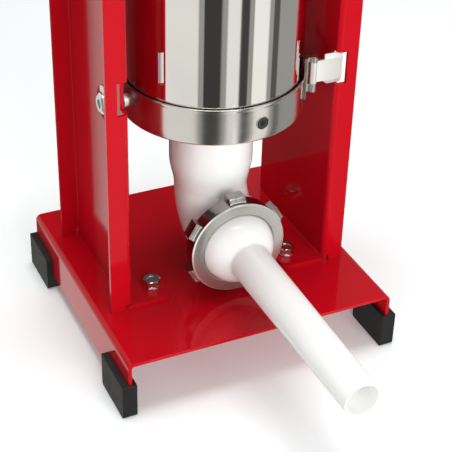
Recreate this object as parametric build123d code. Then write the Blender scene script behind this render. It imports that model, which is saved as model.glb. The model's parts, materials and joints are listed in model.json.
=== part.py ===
"""Vertical hand-cranked sausage stuffer with a removable cylinder, a rack-driven piston and a front tube.

Machine axes while modelling: X to the right, Y to the back, Z up, with the cylinder's axis at x = y = 0 and
the floor at z = 0. Every node is moved at the end so that the origin is the bottom centre of the whole box.
Millimetres throughout.
"""
from build123d import *
import math
import os

# ---- driving dimensions --------------------------------------------------------------------------
SHEET = 3.0                     # folded steel of the base, columns and gear case
CLEAR = 0.05                    # radial running clearance of shafts in bushes

# Fasteners: shank radius, hole radius, width across flats or head radius, and flange radius or head height.
M5_SHANK, M5_HOLE, M5_HEAD, M5_HEAD_HIGH = 2.5, 2.6, 4.75, 2.8
M6_SHANK, M6_HOLE, M6_HEAD, M6_HEAD_HIGH = 3.0, 3.2, 5.25, 3.3
M8_SHANK, M8_HOLE, M8_ACROSS, M8_FLANGE = 4.0, 4.2, 13.0, 8.6
M10_SHANK, M10_HOLE, M10_ACROSS, M10_FLANGE = 5.0, 5.2, 17.0, 14.0
M10_BUTTON, M10_SOCKET = 9.0, 6.0

BASE_WIDTH = 230.0
BASE_FRONT, BASE_REAR = -108.5, 118.5
BASE_TOP = 50.5
SLOT_FLOOR = 13.0               # the base flanges stand on this level inside the feet

FOOT_THICK, FOOT_LENGTH, FOOT_HEIGHT = 12.2, 47.0, 31.0
FOOT_OUT = 5.9                  # how far a foot stands out sideways from the base
FOOT_LIP = 2.1                  # foot wall in front of the flange's end

COLUMN_WEB = 86.0               # inner face of each column's web
COLUMN_EDGE = 104.0             # free edge of the column's flanges
COLUMN_FRONT, COLUMN_REAR = -43.5, 79.7
TAB_INNER = 50.0                # inner edge of the foot tab on the base
TAB_BOLT_X = 61.5
TAB_BOLT_Y = (-23.0, 59.0)
LATCH_NOTCH_Z = (218.0, 245.0)  # notch of the right column, for the latch
PIVOT_NOTCH_Z = (226.5, 253.5)  # notch of the left column, over the pivot's lock nut
NOTCH_SIDE, NOTCH_BACK = 95.0, -32.5

CUP_BOTTOM, CUP_TOP = 200.0, 230.0
CUP_OUTER, CUP_INNER = 72.5, 71.0
CUP_FLOOR = 2.0
PIVOT_Z = 216.0
CUP_BOSS, CUP_BOSS_END = 8.0, 76.5
CUP_SCREW_TURN = 7.0            # the front screw sits a little to the right of the middle
CUP_SCREW_RADIUS = 5.5

CYL_OUTER, CYL_INNER = 70.0, 69.0
CYL_BOTTOM, CYL_TOP = 204.5, 412.0

NECK_RADIUS, ELBOW_RADIUS = 33.8, 29.7
ELBOW_BORE = 25.0
ELBOW_FLANGE = 42.0
OUTLET_Z = 95.5
BEND_RADIUS = 33.0
OUTLET_FACE = -50.4             # front end of the elbow's threaded outlet

NUT_FRONT, NUT_BACK = -57.4, -42.0
NUT_RADIUS, LUG_RADIUS = 40.3, 44.4
LUG_COUNT, LUG_HALF, LUG_FRONT = 6, 7.0, -52.5
NUT_THREAD, NUT_HOLE = 33.4, 30.5
TUBE_FLANGE, TUBE_FLANGE_THICK = 32.6, 3.0
DOME_RADIUS, DOME_MIDDLE, DOME_END = 30.0, (26.2, -65.5), -74.5
TUBE_ROOT, TUBE_TIP = -80.0, -256.3
TUBE_ROOT_RADIUS, TUBE_TIP_RADIUS, TUBE_WALL = 16.2, 14.3, 1.4

PISTON_BOTTOM, PISTON_THICK = 208.0, 16.0
PISTON_RADIUS, SEAL_RADIUS = 67.5, 68.7
PISTON_HUB, PISTON_HUB_RADIUS = 12.0, 18.0
SEAL_GROOVE, SEAL_LOW, SEAL_HIGH = 64.0, PISTON_BOTTOM + 5.0, PISTON_BOTTOM + 11.0
VALVE_X = 38.0
TRAVEL = 208.0

LATCH_X, LATCH_Y = 67.0, -40.5
LATCH_LOW, LATCH_HIGH = 222.0, 240.0
STRIP_BOTTOM, STRIP_TOP, STRIP_SLANT = 213.0, 247.0, 22.0
KNUCKLE_LOW, KNUCKLE_HIGH = 215.0, 244.0
KNUCKLE, LATCH_PIN = 2.6, 1.3

RACK_HALF_X, RACK_BACK, RACK_TIPS = 8.0, -10.0, 8.0
RACK_MODULE, PINION_TEETH = 2.5, 11
GEAR_MODULE, GEAR_TEETH, CRANK_TEETH = 1.5, 40, 12
MESH_ANGLE = 40.0               # crank shaft direction from the slow shaft, up from +Y

CASE_FLOOR = PISTON_BOTTOM + TRAVEL + PISTON_THICK + PISTON_HUB + 4.0
CASE_TOP = CASE_FLOOR + 87.0
LID_TOP = CASE_TOP + SHEET
SLOW_SHAFT, CRANK_SHAFT = 8.0, 7.0
CHEEK_IN, CHEEK_OUT = 30.0, 34.0
ARM_LENGTH = 140.0
HUB_IN, HUB_OUT = 114.0, 128.0
COLLAR_SPANS = ((-37.3, -34.2), (34.2, 37.3))
CASE_BOLT_Y = (-28.0, 18.0, 66.0)
LID_SCREWS = [(x, y) for x in (-77.0, 77.0) for y in (COLUMN_FRONT + 9, COLUMN_REAR - 9)]
CHEEK_SCREWS = [(x, y) for x in (-41.0, 41.0) for y in (6.0, 64.0)]
GUIDE_SCREW_X = 7.0
CRANK_HOLE, SLOW_HOLE = 10.0, 11.0

# ---- derived places ------------------------------------------------------------------------------
RACK_PITCH = math.pi * RACK_MODULE
RACK_ADDENDUM, RACK_DEDENDUM = 1.5, 2.5
PINION_RADIUS = RACK_MODULE * PINION_TEETH / 2
SLOW_Y = RACK_TIPS - RACK_ADDENDUM + PINION_RADIUS
SLOW_Z = CASE_FLOOR + 38.0
CENTRES = GEAR_MODULE * (GEAR_TEETH + CRANK_TEETH) / 2
CRANK_Y = SLOW_Y + CENTRES * math.cos(math.radians(MESH_ANGLE))
CRANK_Z = SLOW_Z + CENTRES * math.sin(math.radians(MESH_ANGLE))
RACK_BOTTOM = PISTON_BOTTOM + PISTON_THICK
RACK_TOP = LID_TOP + 8.0
GRIP_Z = CRANK_Z - ARM_LENGTH
GRIP_START, GRIP_END = 129.0, 217.0
CASE_BOLT_Z = CASE_FLOOR + 20.0
FOOT_OUTER = BASE_WIDTH / 2 + FOOT_OUT
PIN_END = GRIP_END + 7.0

# The origin goes to the bottom centre of the box around everything.
SHIFT = Location((
    -(PIN_END - FOOT_OUTER) / 2,
    -(BASE_REAR + FOOT_LIP + TUBE_TIP) / 2,
    0,
))

nodes = {}


# ---- helpers -------------------------------------------------------------------------------------
def block(x, y, z):
    """A box between two values on each axis."""
    size = [high - low for low, high in (x, y, z)]
    centre = [(high + low) / 2 for low, high in (x, y, z)]
    return Pos(*centre) * Box(*size)


def rod(axis, start, end, radius, at=(0.0, 0.0)):
    """A round bar along X, Y or Z; at gives its other two coordinates, in X, Y, Z order."""
    length = end - start
    middle = (end + start) / 2
    bar = Cylinder(radius, length)
    if axis == "X":
        return Pos(middle, at[0], at[1]) * Rot(0, 90, 0) * bar
    if axis == "Y":
        return Pos(at[0], middle, at[1]) * Rot(90, 0, 0) * bar
    return Pos(at[0], at[1], middle) * bar


def sleeve(axis, start, end, outer, inner, at=(0.0, 0.0)):
    """A tube along one axis."""
    return rod(axis, start, end, outer, at) - rod(axis, start - 1, end + 1, inner, at)


def hexagon(axis, start, end, across, at=(0.0, 0.0)):
    """A hexagonal bar, with its width across flats."""
    bar = extrude(RegularPolygon(across / 2, 6, major_radius=False), end - start)
    if axis == "X":
        return Pos(start, at[0], at[1]) * Rot(0, 90, 0) * bar
    if axis == "Y":
        return Pos(at[0], end, at[1]) * Rot(90, 0, 0) * bar
    return Pos(at[0], at[1], start) * bar


def corner_edges(solid, axis, tests):
    """Edges along one axis whose centre passes every test."""
    return [edge for edge in solid.edges().filter_by(axis) if all(test(edge.center()) for test in tests)]


def mirrored(solid):
    """The same part on the other side of the machine."""
    return mirror(solid, about=Plane.YZ)


def gear_outline(teeth, module, addendum, dedendum, backlash, turn):
    """Involute gear face about the origin, with a tooth centred at the angle turn in degrees."""
    pressure = math.radians(20)
    pitch_radius = module * teeth / 2
    base = pitch_radius * math.cos(pressure)
    tip, root = pitch_radius + addendum, pitch_radius - dedendum
    half_tooth = (math.pi * module / 2 - backlash) / 2 / pitch_radius

    def half_angle(radius):
        if radius <= base:
            return half_tooth + math.tan(pressure) - pressure
        angle = math.acos(base / radius)
        return half_tooth + (math.tan(pressure) - pressure) - (math.tan(angle) - angle)

    flank = [root] + [max(base, root) + (tip - max(base, root)) * step / 3 for step in range(4)]
    flank = flank if base > root + 0.01 else flank[1:]
    points = []
    for tooth in range(teeth):
        centre = math.radians(turn) + 2 * math.pi * tooth / teeth
        sides = [(radius, centre - half_angle(radius)) for radius in flank]
        sides += [(radius, centre + half_angle(radius)) for radius in reversed(flank)]
        points += [(radius * math.cos(angle), radius * math.sin(angle)) for radius, angle in sides]
    return make_face(Polyline(*points, close=True))


def gear(face, start, end, bore, at):
    """A gear on a shaft along X: its face's first axis becomes +Y and its second +Z."""
    place = Plane(origin=(start, at[0], at[1]), x_dir=(0, 1, 0), z_dir=(1, 0, 0))
    return extrude(place * face, end - start) - rod("X", start - 1, end + 1, bore, at)


# ---- base and feet -------------------------------------------------------------------------------
def base_plate():
    """Top plate with a flange folded down at each side, open at the front and back."""
    half = BASE_WIDTH / 2
    outer = block((-half, half), (BASE_FRONT, BASE_REAR), (SLOT_FLOOR, BASE_TOP))
    outer = fillet(corner_edges(outer, Axis.Y, [lambda c: c.Z > BASE_TOP - 1]), 5.0)
    inner = block(
        (-half + SHEET, half - SHEET), (BASE_FRONT - 1, BASE_REAR + 1), (SLOT_FLOOR - 1, BASE_TOP - SHEET)
    )
    inner = fillet(corner_edges(inner, Axis.Y, [lambda c: c.Z > BASE_TOP - SHEET - 1]), 2.0)
    plate = outer - inner
    for x in (-TAB_BOLT_X, TAB_BOLT_X):
        for y in TAB_BOLT_Y:
            plate -= rod("Z", BASE_TOP - 5, BASE_TOP + 1, M8_HOLE, (x, y))
    return plate


def foot(side, front):
    """Rubber block whose slot takes the lower edge of a base flange; the slot is closed at the outer end."""
    half = BASE_WIDTH / 2
    x = (half + FOOT_OUT - FOOT_THICK, half + FOOT_OUT)
    y = (BASE_FRONT - FOOT_LIP, BASE_FRONT - FOOT_LIP + FOOT_LENGTH)
    body = block(x, y, (0, FOOT_HEIGHT))
    body = fillet(corner_edges(body, Axis.X, [lambda c: c.Z < 1]), 5.0)
    body = fillet(corner_edges(body, Axis.X, [lambda c: c.Z > 1]), 1.5)
    body -= block((half - SHEET, half), (BASE_FRONT, y[1] + 1), (SLOT_FLOOR, FOOT_HEIGHT + 1))
    if side < 0:
        body = mirrored(body)
    if not front:
        body = Pos(0, BASE_FRONT + BASE_REAR, 0) * mirror(body, about=Plane.XZ)
    return body


nodes["base_plate"] = base_plate()
for side, side_name in ((-1, "left"), (1, "right")):
    for front, end_name in ((True, "front"), (False, "rear")):
        nodes[f"foot_{end_name}_{side_name}"] = foot(side, front)


# ---- columns -------------------------------------------------------------------------------------
def column(notch_z):
    """Right column: a channel open to the outside, with an inward foot tab and a notch in its front edge."""
    outer = block((COLUMN_WEB, COLUMN_EDGE), (COLUMN_FRONT, COLUMN_REAR), (BASE_TOP, LID_TOP))
    outer = fillet(corner_edges(outer, Axis.Z, [lambda c: c.X < COLUMN_WEB + 1]), 4.0)
    inner = block(
        (COLUMN_WEB + SHEET, COLUMN_EDGE + 1),
        (COLUMN_FRONT + SHEET, COLUMN_REAR - SHEET),
        (BASE_TOP - 1, LID_TOP + 1),
    )
    inner = fillet(corner_edges(inner, Axis.Z, [lambda c: c.X < COLUMN_WEB + SHEET + 1]), 1.0)
    channel = outer - inner
    tab = block(
        (TAB_INNER, COLUMN_WEB + SHEET), (COLUMN_FRONT + 1, COLUMN_REAR - 1), (BASE_TOP, BASE_TOP + SHEET)
    )
    tab = fillet(corner_edges(tab, Axis.Z, [lambda c: c.X < TAB_INNER + 1]), 8.0)
    for y in (COLUMN_FRONT, COLUMN_REAR):
        channel -= block((COLUMN_WEB - 1, COLUMN_WEB + 6), (y - 5, y + 5), (BASE_TOP - 1, BASE_TOP + 5))
    part = channel + tab
    part = fillet(
        corner_edges(
            part, Axis.Y, [lambda c: abs(c.Z - BASE_TOP - SHEET) < 0.1, lambda c: abs(c.X - COLUMN_WEB) < 0.1]
        ),
        2.0,
    )
    part -= block((COLUMN_WEB - 1, NOTCH_SIDE), (COLUMN_FRONT - 1, COLUMN_FRONT + SHEET), notch_z)
    part -= block((COLUMN_WEB - 1, COLUMN_WEB + SHEET + 2), (COLUMN_FRONT - 1, NOTCH_BACK), notch_z)
    for y in TAB_BOLT_Y:
        part -= rod("Z", BASE_TOP - 1, BASE_TOP + 5, M8_HOLE, (TAB_BOLT_X, y))
    part -= rod("X", COLUMN_WEB - 1, COLUMN_WEB + 5, M10_HOLE, (0, PIVOT_Z))
    for y in CASE_BOLT_Y:
        part -= rod("X", COLUMN_WEB - 1, COLUMN_WEB + 5, M6_HOLE, (y, CASE_BOLT_Z))
    return part


nodes["column_left"] = mirrored(column(PIVOT_NOTCH_Z))
bush_hole = rod("X", COLUMN_WEB - 1, COLUMN_WEB + 5, CRANK_HOLE, (CRANK_Y, CRANK_Z))
nodes["column_right"] = column(LATCH_NOTCH_Z) - bush_hole


def base_bolts():
    """Hex flange bolts that hold the column tabs to the base, with a dished top."""
    top = BASE_TOP + SHEET
    bolts = []
    for x in (-TAB_BOLT_X, TAB_BOLT_X):
        for y in TAB_BOLT_Y:
            bolt = rod("Z", top, top + 1.5, M8_FLANGE, (x, y)) + hexagon("Z", top, top + 7, M8_ACROSS, (x, y))
            bolt += rod("Z", BASE_TOP - 13, top + 1, M8_SHANK, (x, y))
            bolts.append(bolt - rod("Z", top + 6, top + 8, 4.4, (x, y)))
    return Compound(bolts)


def base_nuts():
    """Flange nuts under the base plate."""
    under = BASE_TOP - SHEET
    nuts = []
    for x in (-TAB_BOLT_X, TAB_BOLT_X):
        for y in TAB_BOLT_Y:
            nut = rod("Z", under - 1.5, under, M8_FLANGE, (x, y))
            nut += hexagon("Z", under - 8, under, M8_ACROSS, (x, y))
            nuts.append(nut - rod("Z", under - 9, under + 1, M8_SHANK, (x, y)))
    return Compound(nuts)


nodes["base_bolts"] = base_bolts()
nodes["base_nuts"] = base_nuts()


# ---- cup, cylinder and their pivots --------------------------------------------------------------
def cup():
    """Shallow pan that carries the cylinder, with a boss for a pivot screw on each side."""
    pan = rod("Z", CUP_BOTTOM, CUP_TOP, CUP_OUTER)
    pan = fillet(pan.edges().filter_by(GeomType.CIRCLE).group_by(Axis.Z)[0], 2.0)
    for side in (-1, 1):
        pan += rod("X", *sorted((side * (CUP_INNER + 0.5), side * CUP_BOSS_END)), CUP_BOSS, (0, PIVOT_Z))
    pan -= rod("Z", CUP_BOTTOM + CUP_FLOOR, CUP_TOP + 1, CUP_INNER)
    pan -= rod("Z", CUP_BOTTOM - 1, CUP_TOP, NECK_RADIUS + 0.3)
    for side in (-1, 1):
        span = sorted((side * (CUP_OUTER + 0.1), side * (CUP_BOSS_END + 4)))
        pan -= rod("X", *span, M10_SHANK + CLEAR, (0, PIVOT_Z))
    screw_hole = rod("Y", -CUP_OUTER - 1, -CUP_INNER + 1, CUP_SCREW_RADIUS + 0.1, (0, PIVOT_Z - 1))
    return pan - Rot(0, 0, CUP_SCREW_TURN) * screw_hole


def cup_screw():
    """Recessed socket screw in the front of the cup."""
    at = (0, PIVOT_Z - 1)
    screw = rod("Y", -CUP_OUTER + 0.1, -CUP_INNER, CUP_SCREW_RADIUS, at)
    screw -= hexagon("Y", -CUP_OUTER - 1, -CUP_OUTER + 0.9, 5, at)
    return Rot(0, 0, CUP_SCREW_TURN) * screw


def cylinder():
    """Thin drawn tube, open at both ends, with a rolled bead round the top."""
    tube = sleeve("Z", CYL_BOTTOM, CYL_TOP, CYL_OUTER, CYL_INNER)
    bead = sleeve("Z", CYL_TOP - 4, CYL_TOP, CYL_OUTER + 2.0, CYL_INNER)
    outside = [edge for edge in bead.edges().filter_by(GeomType.CIRCLE) if edge.radius > CYL_OUTER + 1]
    return tube + fillet(outside, 1.8)


def cylinder_seal():
    """Rubber seal in the cup: a flat ring under the cylinder and a thin wall round it."""
    floor = CUP_BOTTOM + CUP_FLOOR
    seal = rod("Z", floor, CUP_TOP - 0.6, CUP_INNER)
    seal -= rod("Z", CYL_BOTTOM, CUP_TOP, CYL_OUTER)
    return seal - rod("Z", floor - 1, CUP_TOP, 65.0)


def pivot_bolts():
    """Side screws that carry the cup: flanged button head outside the column, point in the cup's boss."""
    outside = COLUMN_WEB + SHEET
    bolt = rod("X", outside, outside + 2, M10_FLANGE, (0, PIVOT_Z))
    bolt += rod("X", outside + 1, outside + 5, M10_BUTTON, (0, PIVOT_Z))
    bolt = chamfer(bolt.faces().sort_by(Axis.X)[-1].edges(), 2.0)
    bolt -= hexagon("X", outside + 2, outside + 6, M10_SOCKET, (0, PIVOT_Z))
    bolt += rod("X", CUP_BOSS_END - 2.5, outside + 1, M10_SHANK, (0, PIVOT_Z))
    return Compound([bolt, mirrored(bolt)])


def pivot_nuts():
    """Lock nuts against the inner faces of the columns."""
    nut = hexagon("X", COLUMN_WEB - 6.5, COLUMN_WEB, M10_ACROSS, (0, PIVOT_Z))
    nut -= rod("X", COLUMN_WEB - 8, COLUMN_WEB + 1, M10_SHANK, (0, PIVOT_Z))
    return Compound([nut, mirrored(nut)])


nodes["cylinder_cup"] = cup()
nodes["cup_screw"] = cup_screw()
nodes["cylinder"] = cylinder()
nodes["cylinder_seal"] = cylinder_seal()
nodes["pivot_bolts"] = pivot_bolts()
nodes["pivot_nuts"] = pivot_nuts()


# ---- latch ---------------------------------------------------------------------------------------
def latch_bracket():
    """Curved strip welded to the cup, with a slanted top above its rim and a hinge knuckle at each end."""
    turn = math.degrees(math.atan2(LATCH_Y, LATCH_X))
    strip = sleeve("Z", STRIP_BOTTOM, STRIP_TOP, CUP_OUTER + 2.0, CUP_OUTER)
    keep = Rot(0, 0, turn) * block((40, 90), (-11, 11), (200, 250))
    wedge = Pos(0, -6, STRIP_TOP) * Rot(-STRIP_SLANT, 0, 0) * block((40, 90), (0, 30), (0, 12))
    part = (strip & keep) - Rot(0, 0, turn) * wedge
    for low, high in ((KNUCKLE_LOW, LATCH_LOW - 0.2), (LATCH_HIGH + 0.2, KNUCKLE_HIGH)):
        part += rod("Z", low, high, KNUCKLE, (LATCH_X, LATCH_Y))
        reach = (CUP_OUTER + 1, math.hypot(LATCH_X, LATCH_Y))
        part += Rot(0, 0, turn) * block(reach, (-2, 2), (low, high))
    return part - rod("Z", KNUCKLE_LOW - 1, KNUCKLE_HIGH + 1, LATCH_PIN, (LATCH_X, LATCH_Y))


def latch_plate():
    """Flat arm with a T-shaped head that sits in the notch of the right column."""
    front = COLUMN_FRONT + SHEET
    arm = block((LATCH_X, 79), (front, front + 2.0), (LATCH_LOW, LATCH_HIGH))
    head = block((76, 92), (front, front + 2.0), (LATCH_NOTCH_Z[0] + 0.6, LATCH_NOTCH_Z[1] - 0.6))
    head = fillet(corner_edges(head, Axis.Y, [lambda c: c.X > 80]), 2.5)
    head = chamfer(corner_edges(head, Axis.Y, [lambda c: c.X < 80, lambda c: c.Z < 230]), 3.0)
    plate = arm + head + rod("Z", LATCH_LOW, LATCH_HIGH, KNUCKLE, (LATCH_X, LATCH_Y))
    return plate - rod("Z", LATCH_LOW - 1, LATCH_HIGH + 1, LATCH_PIN + CLEAR, (LATCH_X, LATCH_Y))


nodes["latch_bracket"] = latch_bracket()
nodes["latch_plate"] = latch_plate()
nodes["latch_pin"] = rod("Z", KNUCKLE_LOW - 0.5, KNUCKLE_HIGH + 0.5, LATCH_PIN, (LATCH_X, LATCH_Y))


# ---- elbow, stuffing tube and ring nut -----------------------------------------------------------
def elbow_body(neck, radius, outlet_end, overrun):
    """Neck, cone and quarter bend down to the horizontal outlet, as one full-bodied form."""
    cone_top, cone_low = 149.0, OUTLET_Z + BEND_RADIUS
    part = rod("Z", cone_top, CUP_BOTTOM + 6 + overrun, neck)
    part += Pos(0, 0, (cone_top + cone_low) / 2) * Cone(radius, neck, cone_top - cone_low)
    path = Edge.make_circle(
        BEND_RADIUS, Plane(origin=(0, -BEND_RADIUS, cone_low), x_dir=(0, 1, 0), z_dir=(-1, 0, 0)), 0, 90
    )
    profile = Plane(origin=(0, 0, cone_low), z_dir=(0, 0, -1)) * Circle(radius)
    part += sweep(profile, path=path)
    return part + rod("Y", outlet_end, -BEND_RADIUS, radius, (0, OUTLET_Z))


def elbow():
    """Plastic elbow: a flange that rests in the cup, a wide neck, the bend and a threaded outlet."""
    part = elbow_body(NECK_RADIUS, ELBOW_RADIUS, OUTLET_FACE, 0)
    part += rod("Z", CUP_BOTTOM + CUP_FLOOR + 1, CUP_BOTTOM + 6, ELBOW_FLANGE)
    part += rod("Y", OUTLET_FACE, NUT_BACK + 6, NUT_THREAD - 0.1, (0, OUTLET_Z))
    return part - elbow_body(NECK_RADIUS - 4.0, ELBOW_BORE, OUTLET_FACE - 1, 1)


def stuffing_tube():
    """Nozzle: a flange under the nut, a domed shoulder and a long tube that narrows slightly to its tip."""
    flange_front = OUTLET_FACE - TUBE_FLANGE_THICK

    def turned(behind, wall, end):
        """A turned body: the points behind the shoulder, its arc and the tube, inset by the wall."""
        shoulder = ThreePointArc(
            (DOME_RADIUS - wall, flange_front),
            (DOME_MIDDLE[0] - wall, DOME_MIDDLE[1] + wall / 2),
            (TUBE_ROOT_RADIUS + 1.0 - wall, DOME_END + wall),
        )
        along = [(TUBE_ROOT_RADIUS - wall, TUBE_ROOT), (TUBE_TIP_RADIUS - wall, end), (0, end)]
        back = Polyline(*along, *behind, shoulder @ 0)
        lines = [shoulder, Line(shoulder @ 1, along[0]), *back.edges()]
        return Pos(0, 0, OUTLET_Z) * revolve(make_face(lines), Axis.Y)

    outer = turned([(0, OUTLET_FACE), (TUBE_FLANGE, OUTLET_FACE), (TUBE_FLANGE, flange_front)], 0, TUBE_TIP)
    mouth = [(0, OUTLET_FACE + 1), (DOME_RADIUS - TUBE_WALL, OUTLET_FACE + 1)]
    inner = turned(mouth, TUBE_WALL, TUBE_TIP - 1)
    return outer - inner


def ring_nut():
    """Clamping nut with a plain front rim and six grip lugs round its back half."""
    body = rod("Y", NUT_FRONT, NUT_BACK, NUT_RADIUS, (0, OUTLET_Z))
    body = fillet(body.edges().filter_by(GeomType.CIRCLE).group_by(Axis.Y)[0], 1.2)
    for lug in range(LUG_COUNT):
        grip = block((-LUG_HALF, LUG_HALF), (LUG_FRONT, NUT_BACK), (NUT_RADIUS - 3, LUG_RADIUS))
        grip = fillet(corner_edges(grip, Axis.Y, [lambda c: c.Z > NUT_RADIUS]), 1.6)
        body += Pos(0, 0, OUTLET_Z) * Rot(0, 360 / LUG_COUNT * lug, 0) * grip
    body -= rod("Y", NUT_FRONT - 1, NUT_BACK + 1, NUT_HOLE, (0, OUTLET_Z))
    return body - rod("Y", NUT_FRONT + 3.0, NUT_BACK + 1, NUT_THREAD, (0, OUTLET_Z))


nodes["elbow"] = elbow()
nodes["elbow_gasket"] = sleeve("Z", CUP_BOTTOM + 2, CUP_BOTTOM + 3, ELBOW_FLANGE, NECK_RADIUS + 0.3)
nodes["stuffing_tube"] = stuffing_tube()
washer_span = (NUT_FRONT + 3.0, OUTLET_FACE - TUBE_FLANGE_THICK)
nodes["slip_washer"] = sleeve("Y", *washer_span, NUT_THREAD - 0.2, NUT_HOLE, (0, OUTLET_Z))
nodes["ring_nut"] = ring_nut()


# ---- rack and piston -----------------------------------------------------------------------------
def rack():
    """Square bar with teeth on its back face; a tooth gap faces the pinion's tooth at rest."""
    body = block((-RACK_HALF_X, RACK_HALF_X), (RACK_BACK, RACK_TIPS), (RACK_BOTTOM, RACK_TOP))
    root = RACK_TIPS - RACK_ADDENDUM - RACK_DEDENDUM
    slope = math.tan(math.radians(20))
    half_gap = RACK_PITCH / 4 + 0.1
    at_tip = half_gap + RACK_ADDENDUM * slope
    at_root = half_gap - RACK_DEDENDUM * slope
    outline = [(root, -at_root), (RACK_TIPS, -at_tip), (RACK_TIPS + 1, -at_tip)]
    outline += [(RACK_TIPS + 1, at_tip), (RACK_TIPS, at_tip), (root, at_root)]
    face = Plane.YZ * make_face(Polyline(*outline, close=True))
    gap = extrude(face, RACK_HALF_X + 1, both=True)
    low = math.ceil((RACK_BOTTOM + PISTON_HUB + 6 - SLOW_Z) / RACK_PITCH)
    high = math.floor((RACK_TOP - 6 - SLOW_Z) / RACK_PITCH)
    gaps = [Pos(0, 0, SLOW_Z + step * RACK_PITCH) * gap for step in range(low, high + 1)]
    return body - gaps - rod("Z", RACK_BOTTOM - 1, RACK_BOTTOM + 22, 5.0)


def piston():
    """Plastic disc with a seal groove, a socket for the rack, a bolt recess and an air-valve hole."""
    top = PISTON_BOTTOM + PISTON_THICK
    part = rod("Z", PISTON_BOTTOM, top, PISTON_RADIUS)
    part = chamfer(part.edges().filter_by(GeomType.CIRCLE), 1.5)
    part -= sleeve("Z", SEAL_LOW, SEAL_HIGH, PISTON_RADIUS + 1, SEAL_GROOVE)
    part += rod("Z", top, top + PISTON_HUB, PISTON_HUB_RADIUS)
    part -= block((-RACK_HALF_X, RACK_HALF_X), (RACK_BACK, RACK_TIPS), (top, top + PISTON_HUB + 1))
    part -= rod("Z", PISTON_BOTTOM - 1, top + 1, 5.0)
    part -= rod("Z", PISTON_BOTTOM - 1, PISTON_BOTTOM + 7, 11.0)
    part -= rod("Z", PISTON_BOTTOM - 1, top + 1, 4.6, (VALVE_X, 0))
    return part - rod("Z", PISTON_BOTTOM - 1, PISTON_BOTTOM + 6, 7.5, (VALVE_X, 0))


def piston_bolt():
    """Hex bolt from below into the end of the rack."""
    bolt = hexagon("Z", PISTON_BOTTOM + 0.6, PISTON_BOTTOM + 6, 16)
    return bolt + rod("Z", PISTON_BOTTOM + 5, RACK_BOTTOM + 20, 5.0)


def air_valve():
    """Valve plug that lifts off the piston's top face; a clip below keeps it in."""
    top = PISTON_BOTTOM + PISTON_THICK
    plug = rod("Z", top + 1.0, top + 4.0, 8.0, (VALVE_X, 0))
    plug = fillet(plug.edges().filter_by(GeomType.CIRCLE).group_by(Axis.Z)[-1], 1.2)
    plug += rod("Z", PISTON_BOTTOM + 1.0, top + 2, 3.8, (VALVE_X, 0))
    return plug - sleeve("Z", PISTON_BOTTOM + 1.8, PISTON_BOTTOM + 2.8, 5, 3.0, (VALVE_X, 0))


nodes["rack"] = rack()
nodes["piston"] = piston()
nodes["piston_seal"] = sleeve("Z", SEAL_LOW, SEAL_HIGH, SEAL_RADIUS, SEAL_GROOVE)
nodes["piston_bolt"] = piston_bolt()
nodes["piston_washer"] = sleeve("Z", PISTON_BOTTOM + 6, PISTON_BOTTOM + 7, 10.5, 5.0)
nodes["rack_stop"] = fillet(
    block((-14, 14), (RACK_BACK - 5, RACK_TIPS + 5), (RACK_TOP, RACK_TOP + 5)).edges().filter_by(Axis.Z), 4.0
)
nodes["air_valve"] = air_valve()
nodes["air_valve_seal"] = sleeve("Z", RACK_BOTTOM, RACK_BOTTOM + 1.0, 7.6, 4.6, (VALVE_X, 0))
nodes["air_valve_clip"] = sleeve("Z", PISTON_BOTTOM + 1.8, PISTON_BOTTOM + 2.8, 6.6, 3.0, (VALVE_X, 0))


# ---- gear case -----------------------------------------------------------------------------------
def rack_slot(low, high):
    """The opening that the rack runs through."""
    return block((-RACK_HALF_X - 2, RACK_HALF_X + 2), (RACK_BACK - 2, RACK_TIPS + 2), (low, high))


def gear_case():
    """Open-topped folded tray between the columns, with a slot for the rack and a boss for each lid screw."""
    half = COLUMN_WEB
    tray = block((-half, half), (COLUMN_FRONT, COLUMN_REAR), (CASE_FLOOR, CASE_TOP))
    tray = fillet(corner_edges(tray, Axis.X, [lambda c: c.Z < CASE_FLOOR + 1]), 4.0)
    tray -= block(
        (-half + SHEET, half - SHEET),
        (COLUMN_FRONT + SHEET, COLUMN_REAR - SHEET),
        (CASE_FLOOR + SHEET, CASE_TOP + 1),
    )
    for x, y in LID_SCREWS:
        tray += block((x - 6, x + 6), (y - 6, y + 6), (CASE_TOP - 14, CASE_TOP))
        tray -= rod("Z", CASE_TOP - 12, CASE_TOP + 1, M5_SHANK, (x, y))
    tray -= rack_slot(CASE_FLOOR - 1, CASE_FLOOR + 5)
    for side in (-1, 1):
        for y in CASE_BOLT_Y:
            tray -= rod("X", *sorted((side * (half - 5), side * (half + 1))), M6_HOLE, (y, CASE_BOLT_Z))
    for x in (-GUIDE_SCREW_X, GUIDE_SCREW_X):
        tray -= rod("Y", COLUMN_FRONT - 1, COLUMN_FRONT + 5, M5_HOLE, (x, SLOW_Z))
    for x, y in CHEEK_SCREWS:
        tray -= rod("Z", CASE_FLOOR - 1, CASE_FLOOR + 5, M5_HOLE, (x, y))
    return tray - rod("X", half - 5, half + 1, CRANK_HOLE, (CRANK_Y, CRANK_Z))


def case_lid():
    """Lid plate with rounded edges, a slot for the rack and four screw holes."""
    lid = block((-COLUMN_WEB, COLUMN_WEB), (COLUMN_FRONT, COLUMN_REAR), (CASE_TOP, LID_TOP))
    lid = fillet(lid.edges().group_by(Axis.Z)[-1], 1.5)
    lid -= rack_slot(CASE_TOP - 1, LID_TOP + 1)
    for x, y in LID_SCREWS:
        lid -= rod("Z", CASE_TOP - 1, LID_TOP + 1, M5_HOLE, (x, y))
    return lid


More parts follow.
